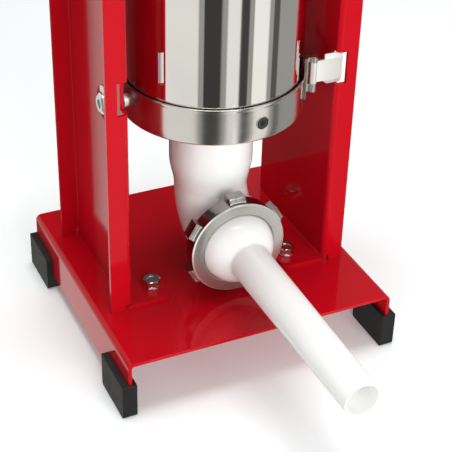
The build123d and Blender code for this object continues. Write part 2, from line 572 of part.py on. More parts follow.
def cheek(side):
    """Bearing plate that carries one end of both shafts, with a foot folded outwards."""
    plate = block((CHEEK_IN, CHEEK_OUT), (-2, 72), (CASE_FLOOR + SHEET, CRANK_Z + 17))
    plate = fillet(corner_edges(plate, Axis.X, [lambda c: c.Z > CRANK_Z]), 12.0)
    plate += block((CHEEK_IN, CHEEK_OUT + 14), (-2, 72), (CASE_FLOOR + SHEET, CASE_FLOOR + SHEET + 4))
    plate -= rod("X", CHEEK_IN - 1, CHEEK_OUT + 1, SLOW_HOLE, (SLOW_Y, SLOW_Z))
    plate -= rod("X", CHEEK_IN - 1, CHEEK_OUT + 1, CRANK_HOLE, (CRANK_Y, CRANK_Z))
    for x, y in CHEEK_SCREWS:
        if x > 0:
            plate -= rod("Z", CASE_FLOOR, CASE_FLOOR + 9, M5_SHANK, (x, y))
    return plate if side > 0 else mirrored(plate)


def bushes(shaft, outer, at):
    """Flanged bronze bushes pressed into both cheeks from the inside."""
    part = rod("X", CHEEK_IN - 2, CHEEK_OUT, outer, at) + rod("X", CHEEK_IN - 2, CHEEK_IN, outer + 2.5, at)
    part -= rod("X", CHEEK_IN - 3, CHEEK_OUT + 1, shaft + CLEAR, at)
    return Compound([part, mirrored(part)])


def rack_guide():
    """Nylon block that backs the rack and guides its sides."""
    part = block((-12, 12), (COLUMN_FRONT + SHEET, 1), (SLOW_Z - 18, SLOW_Z + 18))
    gap = 0.3
    part -= block((-RACK_HALF_X - gap, RACK_HALF_X + gap), (RACK_BACK - gap, 2), (SLOW_Z - 20, SLOW_Z + 20))
    for x in (-GUIDE_SCREW_X, GUIDE_SCREW_X):
        part -= rod("Y", COLUMN_FRONT, COLUMN_FRONT + 20, M5_SHANK, (x, SLOW_Z))
    return part


def screws(places, head_radius, head_height, shank_radius, shank_length):
    """Button-head screws with hexagon sockets; each place is a location whose +Z points out of the head."""
    group = []
    for place in places:
        head = Pos(0, 0, head_height / 2) * Cylinder(head_radius, head_height)
        head = fillet(head.edges().filter_by(GeomType.CIRCLE).group_by(Axis.Z)[-1], head_height * 0.6)
        screw = head + Pos(0, 0, -shank_length / 2) * Cylinder(shank_radius, shank_length)
        screw -= hexagon("Z", head_height * 0.35, head_height + 1, head_radius * 0.8)
        group.append(place * screw)
    return Compound(group)


nodes["gear_case"] = gear_case()
nodes["gear_case_lid"] = case_lid()
nodes["rack_guide"] = rack_guide()
slow_at, crank_at = (SLOW_Y, SLOW_Z), (CRANK_Y, CRANK_Z)
nodes["bearing_cheek_left"] = cheek(-1)
nodes["bearing_cheek_right"] = cheek(1)
nodes["slow_shaft_bushes"] = bushes(SLOW_SHAFT, SLOW_HOLE, slow_at)
nodes["crank_shaft_bushes"] = bushes(CRANK_SHAFT, CRANK_HOLE, crank_at)
nodes["crank_outer_bush"] = (
    rod("X", COLUMN_WEB - SHEET, COLUMN_WEB + SHEET + 2, CRANK_HOLE, crank_at)
    + rod("X", COLUMN_WEB + SHEET, COLUMN_WEB + SHEET + 2, CRANK_HOLE + 3, crank_at)
    - rod("X", COLUMN_WEB - 5, COLUMN_WEB + 8, CRANK_SHAFT + CLEAR, crank_at)
)
lid_places = [Pos(x, y, LID_TOP) for x, y in LID_SCREWS]
guide_places = [Pos(x, COLUMN_FRONT, SLOW_Z) * Rot(90, 0, 0) for x in (-GUIDE_SCREW_X, GUIDE_SCREW_X)]
cheek_places = [Pos(x, y, CASE_FLOOR) * Rot(180, 0, 0) for x, y in CHEEK_SCREWS]
nodes["lid_screws"] = screws(lid_places, M5_HEAD, M5_HEAD_HIGH, M5_SHANK, 13.0)
nodes["guide_screws"] = screws(guide_places, M5_HEAD, M5_HEAD_HIGH, M5_SHANK, 16.0)
nodes["cheek_screws"] = screws(cheek_places, M5_HEAD, M5_HEAD_HIGH, M5_SHANK, 6.5)
case_bolt_places = [Pos(COLUMN_WEB + SHEET, y, CASE_BOLT_Z) * Rot(0, 90, 0) for y in CASE_BOLT_Y]
case_bolt_places += [Pos(-COLUMN_WEB - SHEET, y, CASE_BOLT_Z) * Rot(0, -90, 0) for y in CASE_BOLT_Y]
nodes["case_bolts"] = screws(case_bolt_places, M6_HEAD, M6_HEAD_HIGH, M6_SHANK, 14.0)
case_nuts = []
for side in (-1, 1):
    for y in CASE_BOLT_Y:
        span = sorted((side * (COLUMN_WEB - SHEET), side * (COLUMN_WEB - SHEET - 5)))
        nut = hexagon("X", *span, 10, (y, CASE_BOLT_Z))
        case_nuts.append(nut - rod("X", -COLUMN_WEB, COLUMN_WEB, M6_SHANK, (y, CASE_BOLT_Z)))
nodes["case_nuts"] = Compound(case_nuts)


# ---- slow shaft ----------------------------------------------------------------------------------
pinion_face = gear_outline(PINION_TEETH, RACK_MODULE, 2.0, 1.9, 0.2, 180)
drive_face = gear_outline(GEAR_TEETH, GEAR_MODULE, 1.05, 1.6, 0.2, MESH_ANGLE)
crank_face = gear_outline(CRANK_TEETH, GEAR_MODULE, 1.2, 1.45, 0.2, MESH_ANGLE + 180 + 180 / CRANK_TEETH)
nodes["slow_shaft"] = rod("X", -37.5, 37.5, SLOW_SHAFT, slow_at)
nodes["rack_pinion"] = gear(pinion_face, -9.5, 9.5, SLOW_SHAFT, slow_at)
nodes["drive_gear"] = gear(drive_face, 12.5, 20.5, SLOW_SHAFT, slow_at)
nodes["gear_spacer"] = sleeve("X", 9.5, 12.5, 11.5, SLOW_SHAFT, slow_at)
nodes["shaft_spacers"] = Compound(
    [sleeve("X", *span, 11.0, SLOW_SHAFT, slow_at) for span in ((-27.8, -9.5), (20.5, 27.8))]
)
nodes["slow_shaft_collars"] = Compound(
    [sleeve("X", *span, 11.5, SLOW_SHAFT, slow_at) for span in COLLAR_SPANS]
)


# ---- crank ---------------------------------------------------------------------------------------
def crank_arm():
    """Flat arm between the shaft hub and the grip boss, rounded at both ends."""
    middle = (HUB_IN + HUB_OUT) / 2
    part = rod("X", HUB_IN, HUB_OUT, 14.0, crank_at)
    part += rod("X", middle - 4, middle + 4, 10.0, (CRANK_Y, GRIP_Z))
    part += block((middle - 4, middle + 4), (CRANK_Y - 9, CRANK_Y + 9), (GRIP_Z, CRANK_Z))
    part -= rod("X", HUB_IN - 1, HUB_OUT + 1, CRANK_SHAFT, crank_at)
    return part - rod("X", HUB_IN - 1, HUB_OUT + 1, 5.0, (CRANK_Y, GRIP_Z))


def grip():
    """Turned handle, swollen in the middle, free to spin on its pin."""
    length = GRIP_END - GRIP_START
    shape = [(9.5, 0.0), (12.0, 0.04), (13.5, 0.3), (14.5, 0.6), (13.0, 0.9), (10.0, 1.0)]
    side = Spline(*[(radius, length * share) for radius, share in shape])
    rim = Polyline(side @ 1, (5.3, length), (5.3, 0), side @ 0)
    body = revolve(make_face([*side.edges(), *rim.edges()]), Axis.Y)
    return Pos(GRIP_START, CRANK_Y, GRIP_Z) * Rot(0, 0, -90) * body


grip_at = (CRANK_Y, GRIP_Z)
arm_middle = (HUB_IN + HUB_OUT) / 2
nodes["crank_shaft"] = rod("X", -37.5, HUB_OUT, CRANK_SHAFT, crank_at)
nodes["crank_pinion"] = gear(crank_face, 11.5, 21.5, CRANK_SHAFT, crank_at)
nodes["crank_shaft_collars"] = Compound(
    [sleeve("X", *span, 10.5, CRANK_SHAFT, crank_at) for span in COLLAR_SPANS]
)
nodes["crank_arm"] = crank_arm()
nodes["crank_washer"] = sleeve("X", HUB_OUT, HUB_OUT + 1.5, 10.0, 4.0, crank_at)
nodes["crank_screw"] = hexagon("X", HUB_OUT + 1.5, HUB_OUT + 7, 13, crank_at) + rod(
    "X", HUB_OUT, HUB_OUT + 2, 4.0, crank_at
)
nodes["grip_pin"] = rod("X", arm_middle - 4, PIN_END - 1, 5.0, grip_at) + rod(
    "X", GRIP_END + 1, PIN_END, 8.0, grip_at
)
nodes["grip_pin_nut"] = hexagon("X", arm_middle - 10, arm_middle - 4, 16, grip_at)
nodes["grip"] = grip()

# ---- export --------------------------------------------------------------------------------------
os.makedirs("parts", exist_ok=True)
for name, shape in nodes.items():
    export_step(SHIFT * shape, f"parts/{name}.step")
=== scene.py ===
"""Looks for the sausage stuffer: detailed pieces, procedural materials, floor, light and camera."""
import json
import math

import bmesh
import bpy
from mathutils import Matrix, Vector


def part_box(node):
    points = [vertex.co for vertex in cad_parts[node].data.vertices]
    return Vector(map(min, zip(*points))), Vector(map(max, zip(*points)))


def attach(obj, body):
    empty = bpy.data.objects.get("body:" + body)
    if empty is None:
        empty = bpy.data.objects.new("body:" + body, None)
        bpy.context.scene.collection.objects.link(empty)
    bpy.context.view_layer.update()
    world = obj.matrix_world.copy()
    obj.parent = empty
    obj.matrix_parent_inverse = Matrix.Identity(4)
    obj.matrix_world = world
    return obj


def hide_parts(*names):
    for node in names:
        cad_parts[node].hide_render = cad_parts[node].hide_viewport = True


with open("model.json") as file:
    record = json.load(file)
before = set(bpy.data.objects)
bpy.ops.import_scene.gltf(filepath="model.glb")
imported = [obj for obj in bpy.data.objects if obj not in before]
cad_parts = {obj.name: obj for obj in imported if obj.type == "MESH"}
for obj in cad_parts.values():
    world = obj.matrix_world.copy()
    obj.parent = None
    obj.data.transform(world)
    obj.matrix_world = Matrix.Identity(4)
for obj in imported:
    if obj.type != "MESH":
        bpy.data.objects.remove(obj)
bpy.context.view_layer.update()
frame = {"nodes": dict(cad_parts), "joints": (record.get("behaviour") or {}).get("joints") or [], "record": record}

MM = 0.001

# ---- places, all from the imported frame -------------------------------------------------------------
def middle(node):
    """Centre of a CAD node's box."""
    low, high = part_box(node)
    return (low + high) / 2


def joint_place(name):
    """The point a joint turns about."""
    return Vector(next(j["pos_m"] for j in frame["joints"] if j["name"] == name))


AXIS = middle("cylinder")                       # the cylinder's upright axis
CUP_LOW, CUP_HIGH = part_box("cylinder_cup")
CYL_LOW, CYL_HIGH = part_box("cylinder")
BASE_LOW, BASE_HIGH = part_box("base_plate")
ELBOW_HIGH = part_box("elbow")[1]
TUBE_LOW, TUBE_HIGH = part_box("stuffing_tube")
NUT_LOW, NUT_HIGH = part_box("ring_nut")
OUTLET = Vector((AXIS.x, 0, joint_place("nut_spin").z))     # the outlet's level axis
PIVOT_Z = middle("pivot_bolts").z
CYL_RADIUS = middle("cylinder").x - CYL_LOW.x - 2 * MM      # without the rolled bead


# ---- mesh helpers ----------------------------------------------------------------------------------
def spin_matrix(axis, centre):
    """Takes a shape turned about +Z to the same shape turned about the given direction, through centre."""
    turn = Vector(axis).to_track_quat("Z", "Y").to_matrix().to_4x4()
    return Matrix.Translation(Vector(centre)) @ turn


def rounded(points, arc_steps=4):
    """An outline with its corners rounded: each point is (radius, height) or (radius, height, rounding)."""
    count = len(points)
    outline = []
    for i, point in enumerate(points):
        corner = Vector(point[:2])
        rounding = point[2] if len(point) > 2 else 0
        before = Vector(points[i - 1][:2]) - corner
        after = Vector(points[(i + 1) % count][:2]) - corner
        if rounding <= 0 or before.length == 0 or after.length == 0:
            outline.append(corner)
            continue
        turn = before.angle(after)
        reach = min(rounding / math.tan(turn / 2), before.length * 0.48, after.length * 0.48)
        start, end = corner + before.normalized() * reach, corner + after.normalized() * reach
        for step in range(arc_steps + 1):
            share = step / arc_steps
            outline.append(start.lerp(corner, share).lerp(corner.lerp(end, share), share))
    return outline


def around(matrix, radius, angle, height):
    """A point at a radius, angle and height about +Z, placed by a matrix."""
    return matrix @ Vector((radius * math.cos(angle), radius * math.sin(angle), height))


def turned(mesh, outline, steps=96, closed=True, matrix=Matrix.Identity(4)):
    """Adds a surface of revolution about +Z from (radius, height) points."""
    rings = []
    for point in outline:
        if abs(point[0]) < 1e-7:
            rings.append([mesh.verts.new(matrix @ Vector((0, 0, point[1])))])
            continue
        ring = []
        for step in range(steps):
            angle = 2 * math.pi * step / steps
            ring.append(mesh.verts.new(around(matrix, point[0], angle, point[1])))
        rings.append(ring)
    pairs = list(zip(rings, rings[1:]))
    if closed:
        pairs.append((rings[-1], rings[0]))
    for low, high in pairs:
        bridge(mesh, low, high)


def bridge(mesh, low, high):
    """Joins two rings of points, either of which may be a single point."""
    count = max(len(low), len(high))
    if count == 1:
        return
    for step in range(count):
        after = (step + 1) % count
        corners = [low[step % len(low)], low[after % len(low)]]
        corners += [high[after % len(high)], high[step % len(high)]]
        unique = []
        for corner in corners:
            if corner not in unique:
                unique.append(corner)
        mesh.faces.new(unique)


def finish_piece(name, mesh, body, material, replaces=(), sharp=32.0):
    """Makes the object, shades it smooth with sharp creases, and ties it to its body."""
    bmesh.ops.recalc_face_normals(mesh, faces=mesh.faces)
    data = bpy.data.meshes.new(name)
    mesh.to_mesh(data)
    mesh.free()
    piece = bpy.data.objects.new(name, data)
    bpy.context.scene.collection.objects.link(piece)
    data.shade_smooth()
    data.set_sharp_from_angle(angle=math.radians(sharp))
    data.materials.append(material)
    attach(piece, body)
    if replaces:
        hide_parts(*replaces)
    return piece


def soften(piece, width, segments=3, angle=35.0):
    """Rounds the sharp edges of a piece."""
    bevel = piece.modifiers.new("soft_edges", "BEVEL")
    bevel.width = width
    bevel.segments = segments
    bevel.limit_method = "ANGLE"
    bevel.angle_limit = math.radians(angle)
    bevel.harden_normals = True


def hex_head(mesh, across, low, high, matrix, chamfer=0.06, foot_chamfer=False, inner=0.0):
    """A hexagon with its corners turned off at 30 degrees, as on a machined head or nut."""
    apothem = across / 2
    steps = 72
    turned_radius = apothem * (1 - chamfer)

    def side(angle):
        within = (angle + math.pi / 6) % (math.pi / 3) - math.pi / 6
        return apothem / math.cos(within)

    def drop(radius):
        return max(radius - turned_radius, 0) * math.tan(math.radians(30))

    levels = []
    if foot_chamfer:
        levels.append((None, low, 1))
    levels += [("side", low, 1 if foot_chamfer else 0), ("side", high, -1), (None, high, -1)]
    rings = []
    for kind, height, sign in levels:
        ring = []
        for step in range(steps):
            angle = 2 * math.pi * step / steps
            radius = side(angle) if kind else turned_radius
            z = height + sign * drop(radius)
            ring.append(mesh.verts.new(around(matrix, radius, angle, z)))
        rings.append(ring)
    for first, second in zip(rings, rings[1:]):
        bridge(mesh, first, second)
    cap(mesh, rings[-1], inner, high, matrix)
    cap(mesh, rings[0], inner, low, matrix)
    if inner > 0:
        wall = []
        for height in (low, high):
            wall.append(circle(mesh, inner, height, steps, matrix))
        bridge(mesh, wall[0], wall[1])


def circle(mesh, radius, height, steps, matrix):
    """A ring of points about +Z."""
    ring = []
    for step in range(steps):
        angle = 2 * math.pi * step / steps
        ring.append(mesh.verts.new(around(matrix, radius, angle, height)))
    return ring


def cap(mesh, ring, inner, height, matrix):
    """Closes a ring with a flat face, or with an annulus down to the inner radius."""
    if inner > 0:
        bridge(mesh, ring, circle(mesh, inner, height, len(ring), matrix))
    else:
        bridge(mesh, ring, [mesh.verts.new(matrix @ Vector((0, 0, height)))])


def threaded(mesh, radius, depth, pitch, low, high, matrix, steps=40):
    """A screw thread about +Z, closed at both ends, that fades out at its ends."""
    rows = max(int((high - low) / pitch * 8), 8)
    rings = []
    for row in range(rows + 1):
        height = low + (high - low) * row / rows
        fade = min(1.0, (height - low) / (pitch * 0.8), (high - height) / (pitch * 0.8))
        ring = []
        for step in range(steps):
            angle = 2 * math.pi * step / steps
            phase = (height / pitch - step / steps) % 1.0
            crest = 1 - abs(2 * phase - 1) * 1.15
            local = radius - depth + depth * max(min(crest * 1.2, 1.0), 0.0) * max(fade, 0.0)
            ring.append(mesh.verts.new(around(matrix, local, angle, height)))
        rings.append(ring)
    for first, second in zip(rings, rings[1:]):
        bridge(mesh, first, second)
    for ring, height in ((rings[0], low), (rings[-1], high)):
        cap(mesh, ring, 0, height, matrix)


def prism(mesh, outline, low, high, matrix=Matrix.Identity(4)):
    """A straight-sided body from a closed outline of (x, y) points, between two heights."""
    rings = []
    for height in (low, high):
        rings.append([mesh.verts.new(matrix @ Vector((x, y, height))) for x, y in outline])
    bridge(mesh, rings[0], rings[1])
    for ring in rings:
        mesh.faces.new(ring)


# ---- material helpers ------------------------------------------------------------------------------
class Nodes:
    """A material's node tree, with the few node kinds that the looks here use."""

    def __init__(self, name):
        self.material = bpy.data.materials.new(name)
        self.material.use_nodes = True
        self.tree = self.material.node_tree
        self.shader = self.tree.nodes["Principled BSDF"]
        self.place = self.tree.nodes.new("ShaderNodeTexCoord").outputs["Object"]

    def link(self, source, socket):
        self.tree.links.new(source, socket)

    def add(self, kind, operation=None):
        node = self.tree.nodes.new(kind)
        if operation:
            node.operation = operation
        return node

    def stretched(self, scale):
        """Object coordinates stretched by a scale on each axis."""
        node = self.tree.nodes.new("ShaderNodeMapping")
        node.inputs["Scale"].default_value = scale
        self.link(self.place, node.inputs["Vector"])
        return node.outputs["Vector"]

    def noise(self, scale, detail=3.0, roughness=0.5, place=None, distortion=0.0):
        node = self.tree.nodes.new("ShaderNodeTexNoise")
        node.inputs["Scale"].default_value = scale
        node.inputs["Detail"].default_value = detail
        node.inputs["Roughness"].default_value = roughness
        node.inputs["Distortion"].default_value = distortion
        self.link(place or self.place, node.inputs["Vector"])
        return node.outputs["Fac"]

    def spread(self, value, low, high, start=0.3, end=0.7):
        """Maps a value between start and end to low and high."""
        node = self.tree.nodes.new("ShaderNodeMapRange")
        node.inputs["From Min"].default_value = start
        node.inputs["From Max"].default_value = end
        node.inputs["To Min"].default_value = low
        node.inputs["To Max"].default_value = high
        self.link(value, node.inputs["Value"])
        return node.outputs["Result"]

    def colours(self, value, stops):
        """A colour ramp; each stop is (position, (red, green, blue))."""
        node = self.tree.nodes.new("ShaderNodeValToRGB")
        ramp = node.color_ramp
        ramp.elements[0].position, ramp.elements[1].position = stops[0][0], stops[-1][0]
        for position, colour in stops[1:-1]:
            ramp.elements.new(position)
        for element, (position, colour) in zip(ramp.elements, stops):
            element.color = (*colour, 1)
        self.link(value, node.inputs["Fac"])
        return node.outputs["Color"]

    def bump(self, value, distance, strength=1.0, after=None):
        node = self.tree.nodes.new("ShaderNodeBump")
        node.inputs["Strength"].default_value = strength
        node.inputs["Distance"].default_value = distance
        self.link(value, node.inputs["Height"])
        if after is not None:
            self.link(after, node.inputs["Normal"])
        return node.outputs["Normal"]

    def set(self, **values):
        for key, value in values.items():
            self.shader.inputs[key.replace("_", " ")].default_value = value

    def drive(self, **sources):
        for key, source in sources.items():
            self.link(source, self.shader.inputs[key.replace("_", " ")])


def shades(colour, low, high):
    """Two or three nearby tones of a colour, for a ramp."""
    return [(0.3, tuple(c * low for c in colour)), (0.7, tuple(min(c * high, 1) for c in colour))]


def powder_coat():
    """Glossy red powder coat: a deep red with a faint orange peel and a hard clear surface."""
    look = Nodes("red_powder_coat")
    tone = look.noise(9.0, 4.0)
    look.drive(Base_Color=look.colours(tone, shades((0.50, 0.0030, 0.0105), 0.95, 1.05)))
    fine = look.noise(420.0, 2.0)
    peel = look.bump(look.noise(150.0, 2.0), 0.00012, 0.10)
    look.drive(Normal=look.bump(fine, 0.00004, 0.08, peel), Roughness=look.spread(fine, 0.075, 0.115))
    look.set(IOR=1.44, Specular_Tint=(1.0, 0.35, 0.35, 1.0))
    return look.material


def steel(name, colour, roughness, grain_scale, grain, spotted=0.02, metallic=1.0):
    """Metal with fine drawn or turned lines: grain_scale stretches the lines, grain is their depth."""
    look = Nodes(name)
    lines = look.noise(1.0, 4.0, 0.6, look.stretched(grain_scale))
    cloud = look.noise(22.0, 4.0)
    look.drive(Base_Color=look.colours(cloud, shades(colour, 0.96, 1.03)))
    look.drive(Roughness=look.spread(lines, max(roughness - spotted, 0.01), roughness + spotted))
    look.drive(Normal=look.bump(lines, grain, 0.5))
    look.set(Metallic=metallic)
    return look.material


def plastic(name, colour, roughness, subsurface=0.0, coat=0.0, texture=0.00003, scale=260.0):
    """Moulded plastic with a faint texture and soft, slightly uneven gloss."""
    look = Nodes(name)
    cloud = look.noise(14.0, 3.0)
    fine = look.noise(scale, 3.0)
    look.drive(Base_Color=look.colours(cloud, shades(colour, 0.98, 1.01)))
    look.drive(Roughness=look.spread(cloud, roughness * 0.85, roughness * 1.15))
    look.drive(Normal=look.bump(fine, texture, 0.35))
    look.set(IOR=1.49, Coat_Weight=coat, Coat_Roughness=0.08, Subsurface_Weight=subsurface)
    if subsurface > 0:
        look.set(Subsurface_Radius=(0.004, 0.003, 0.0025), Subsurface_Scale=1.0)
    return look.material


def rubber(name, colour, roughness, depth):
    """Matte rubber with a fine moulded grain and paler rubbed patches."""
    look = Nodes(name)
    cloud = look.noise(60.0, 5.0, 0.65)
    grain = look.noise(900.0, 3.0)
    look.drive(Base_Color=look.colours(cloud, shades(colour, 0.8, 1.35)))
    look.drive(Roughness=look.spread(cloud, roughness - 0.08, roughness + 0.08))
    look.drive(Normal=look.bump(grain, depth, 0.6))
    look.set(IOR=1.45, Specular_IOR_Level=0.4)
    return look.material


LOOKS = {
    "red_paint": powder_coat(),
    "black_rubber": rubber("foot_rubber", (0.010, 0.010, 0.010), 0.6, 0.0001),
    "seal_rubber": rubber("seal_rubber", (0.008, 0.008, 0.008), 0.45, 0.00003),
    "polished_steel": steel("polished_steel", (0.82, 0.805, 0.775), 0.02, (900, 900, 6), 0.0000001, 0.01),
    "satin_steel": steel("satin_steel", (0.73, 0.71, 0.67), 0.19, (60, 60, 2600), 0.000004, 0.05),
    "zinc_fastener": steel("zinc_plate", (0.70, 0.70, 0.69), 0.17, (700, 700, 700), 0.000006, 0.06),
    "gear_steel": steel("gear_steel", (0.42, 0.42, 0.42), 0.32, (1800, 200, 200), 0.000008, 0.08),
    "bronze": steel("sintered_bronze", (0.55, 0.36, 0.16), 0.36, (800, 800, 800), 0.00001, 0.08),
    "white_plastic": plastic("white_plastic", (0.885, 0.885, 0.865), 0.2, subsurface=0.15, coat=0.3),
    "nylon": plastic("natural_nylon", (0.72, 0.69, 0.61), 0.42, subsurface=0.2),
    "black_plastic": plastic("black_plastic", (0.012, 0.012, 0.013), 0.24, coat=0.25, texture=0.00002),
}
nut_steel = steel("nut_steel", (0.52, 0.51, 0.485), 0.24, (60, 20, 60), 0.000001, 0.02, 0.85)

# A darker copy of the nut's steel, painted shade on the nut's faces turned away from the front.
nut_painted_shade_steel = steel("nut_painted_shade_steel", (0.30, 0.285, 0.27), 0.16, (40, 900, 40), 0.000002, 0.04)
# Pale steel: the latch plate's own finish, and a painted highlight on the ring nut's rim bevel.
pale_steel_and_painted_highlight = steel("pale_steel_and_painted_highlight", (0.93, 0.915, 0.88), 0.2, (40, 40, 1500), 0.000002, 0.04, 0.6)
blackened_steel = steel("blackened_steel", (0.09, 0.09, 0.085), 0.3, (900, 900, 900), 0.000006, 0.08)

node_slots = {part["node"]: part["material_slot"] for part in frame["record"]["subparts"]}
for node_name, node in frame["nodes"].items():
    node.data.materials.clear()
    node.data.materials.append(LOOKS[node_slots[node_name]])


# ---- folded sheet and machined nodes: the CAD shape with softened edges -------------------------------
def weld_and_soften(names, width, angle=35.0):
    """Merges a CAD node's split faces and rounds its sharp edges, as modifiers on the CAD mesh."""
    for name in names:
        node = frame["nodes"][name]
        weld = node.modifiers.new("weld", "WELD")
        weld.merge_threshold = 0.00001
        flat = node.modifiers.new("flat_faces", "DECIMATE")
        flat.decimate_type = "DISSOLVE"
        flat.angle_limit = math.radians(0.6)
        soften(node, width, 2, angle)
        even = node.modifiers.new("even_faces", "WEIGHTED_NORMAL")
        even.mode = "FACE_AREA"
        even.weight = 100
        node.data.shade_smooth()


SHEET_NODES = ["base_plate", "column_left", "column_right", "gear_case", "gear_case_lid"]
weld_and_soften(SHEET_NODES, 0.45 * MM)
MACHINED_NODES = [
    "bearing_cheek_left", "bearing_cheek_right", "rack_guide", "rack_stop", "piston", "piston_bolt",
    "piston_washer", "crank_arm", "crank_washer", "crank_screw", "crank_shaft_collars", "slow_shaft_collars",
    "grip_pin", "grip_pin_nut",
    "lid_screws", "guide_screws", "cheek_screws", "case_bolts", "case_nuts", "air_valve", "slip_washer",
]
weld_and_soften(MACHINED_NODES, 0.3 * MM, 40.0)


# ---- rubber feet -----------------------------------------------------------------------------------
def foot(name):
    """A moulded foot with rounded edges, well-rounded lower ends and a slot down from its top for the base's
    flange.
    """
    low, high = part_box(name)
    slot_width = 3.0 * MM
    slot_floor = 13.0 * MM
    left = low.x < AXIS.x
    front = low.y < AXIS.y
    outer_wall = BASE_LOW.x - low.x if left else high.x - BASE_HIGH.x
    lip = BASE_LOW.y - low.y if front else high.y - BASE_HIGH.y
    mesh = bmesh.new()
    # The section across the foot, with its slot, starts at the outer side and runs inwards.
    width = high.x - low.x
    section = [(0, 0), (width, 0), (width, high.z), (outer_wall + slot_width, high.z)]
    section += [(outer_wall + slot_width, slot_floor), (outer_wall, slot_floor)]
    section += [(outer_wall, high.z), (0, high.z)]
    length = high.y - low.y
    rows = []
    for along in (0.0, length - lip, length):
        rows.append([(x, along, z) for x, z in section])

    def place(point):
        x = low.x + point[0] if left else high.x - point[0]
        y = high.y - point[1] if front else low.y + point[1]
        return Vector((x, y, point[2]))

    body_rows = [[mesh.verts.new(place(p)) for p in row] for row in rows[:2]]
    bridge(mesh, body_rows[0], body_rows[1])
    mesh.faces.new(body_rows[0])
    corners = ((0, 0), (width, 0), (width, high.z), (0, high.z))
    end = [mesh.verts.new(place((x, length, z))) for x, z in corners]
    near = body_rows[1]
    mesh.faces.new([near[0], near[1], end[1], end[0]])
    mesh.faces.new([near[1], near[2], end[2], end[1]])
    mesh.faces.new([near[2], near[3], near[6], near[7], end[3], end[2]])
    mesh.faces.new([near[7], near[0], end[0], end[3]])
    mesh.faces.new([near[3], near[4], near[5], near[6]])
    mesh.faces.new(end)
    bottom = [e for e in mesh.edges if all(v.co.z < 1e-6 for v in e.verts)]
    across = [e for e in bottom if abs(e.verts[0].co.x - e.verts[1].co.x) > 1e-4]
    ends = [e for e in across if min(abs(e.verts[0].co.y - low.y), abs(e.verts[0].co.y - high.y)) < 1e-6]
    bmesh.ops.bevel(mesh, geom=ends, offset=3.0 * MM, segments=4, profile=0.5, affect="EDGES")
    piece = finish_piece(f"{name}_moulded", mesh, "frame", LOOKS["black_rubber"], [name])
    soften(piece, 0.8 * MM, 3, 40)


for end_name in ("front", "rear"):
    for side_name in ("left", "right"):
        foot(f"foot_{end_name}_{side_name}")


# ---- fasteners -------------------------------------------------------------------------------------
def finish_fastener(node, mesh):
    """A zinc-plated fastener on the frame that stands in for its CAD node."""
    look = "zinc_fastener"
    finish_piece(f"{node}_machined", mesh, "frame", LOOKS[look], [node], 25)


def base_fasteners():
    """Flange bolts down through the column tabs, and their flange nuts under the base."""
    low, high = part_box("base_bolts")
    nut_low, nut_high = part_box("base_nuts")
    across, flange, reach = 13.0 * MM, 7.7 * MM, 8.6 * MM
    seat = high.z - 7.0 * MM
    top = high.z - 0.3 * MM
    bolts, nuts = bmesh.new(), bmesh.new()
    turns = (17.0, 41.0, 5.0, 29.0)
    skirt = [(0, seat), (flange, seat, 0.3 * MM), (flange, seat + 1.0 * MM, 0.5 * MM)]
    skirt += [(6.6 * MM, seat + 1.9 * MM, 0.5 * MM), (0, seat + 1.9 * MM)]
    dish = [(4.6 * MM, top, 0.4 * MM), (4.1 * MM, top - 1.3 * MM, 0.8 * MM), (0, top - 1.6 * MM)]
    nut_skirt = [(4.05 * MM, nut_high.z), (flange, nut_high.z, 0.3 * MM)]
    nut_skirt += [(flange, nut_high.z - 1.0 * MM, 0.5 * MM), (6.4 * MM, nut_high.z - 2.0 * MM, 0.4 * MM)]
    nut_skirt += [(4.05 * MM, nut_high.z - 2.0 * MM)]
    places = [(x, y) for x in (low.x + reach, high.x - reach) for y in (low.y + reach, high.y - reach)]
    for (x, y), turn in zip(places, turns):
        matrix = Matrix.Translation((x, y, 0)) @ Matrix.Rotation(math.radians(turn), 4, "Z")
        turned(bolts, rounded(skirt), 48, False, matrix)
        hex_head(bolts, across, seat + 1.2 * MM, top, matrix, 0.04, False, 4.6 * MM)
        turned(bolts, rounded(dish), 48, False, matrix)
        threaded(bolts, 4.0 * MM, 0.55 * MM, 1.25 * MM, low.z, seat, matrix)
        turned(nuts, rounded(nut_skirt), 48, True, matrix)
        hex_head(nuts, across, nut_low.z, nut_high.z - 1.2 * MM, matrix, 0.05, True, 4.05 * MM)
    finish_fastener("base_bolts", bolts)
    finish_fastener("base_nuts", nuts)


def pivot_fasteners():
    """Threaded pivot screws with a flanged button head outside each column and a lock nut inside."""
    low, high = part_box("pivot_bolts")
    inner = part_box("pivot_nuts")[1].x - AXIS.x
    end = high.x - AXIS.x
    seat = end - 5.0 * MM
    flange, button, tip = 14 * MM, 9 * MM, 74 * MM
    head = [(0, seat), (flange, seat, 0.4 * MM), (flange, seat + 1.3 * MM, 0.5 * MM)]
    head += [(button, seat + 2.0 * MM, 0.3 * MM), (button, seat + 3.4 * MM, 1.6 * MM)]
    head += [(button - 2.4 * MM, end, 1.4 * MM), (3.4 * MM, end, 0.3 * MM)]
    head += [(3.3 * MM, end - 2.6 * MM), (0, end - 2.9 * MM)]
    point = [(0, tip), (4.4 * MM, tip, 0.7 * MM), (4.9 * MM, tip + 1.7 * MM), (0, tip + 1.7 * MM)]
    bolts, nuts = bmesh.new(), bmesh.new()
    for side in (-1, 1):
        matrix = spin_matrix((side, 0, 0), (AXIS.x, AXIS.y, PIVOT_Z))
        turned(bolts, rounded(head), 72, False, matrix)
        threaded(bolts, 5.0 * MM, 0.75 * MM, 1.5 * MM, tip + 1.5 * MM, seat, matrix)
        turned(bolts, rounded(point), 40, False, matrix)
        turn = Matrix.Rotation(math.radians(12), 4, "Z")
        hex_head(nuts, 17.0 * MM, inner - 6.5 * MM, inner, matrix @ turn, 0.05, True, 5.02 * MM)
    finish_fastener("pivot_bolts", bolts)
    finish_fastener("pivot_nuts", nuts)


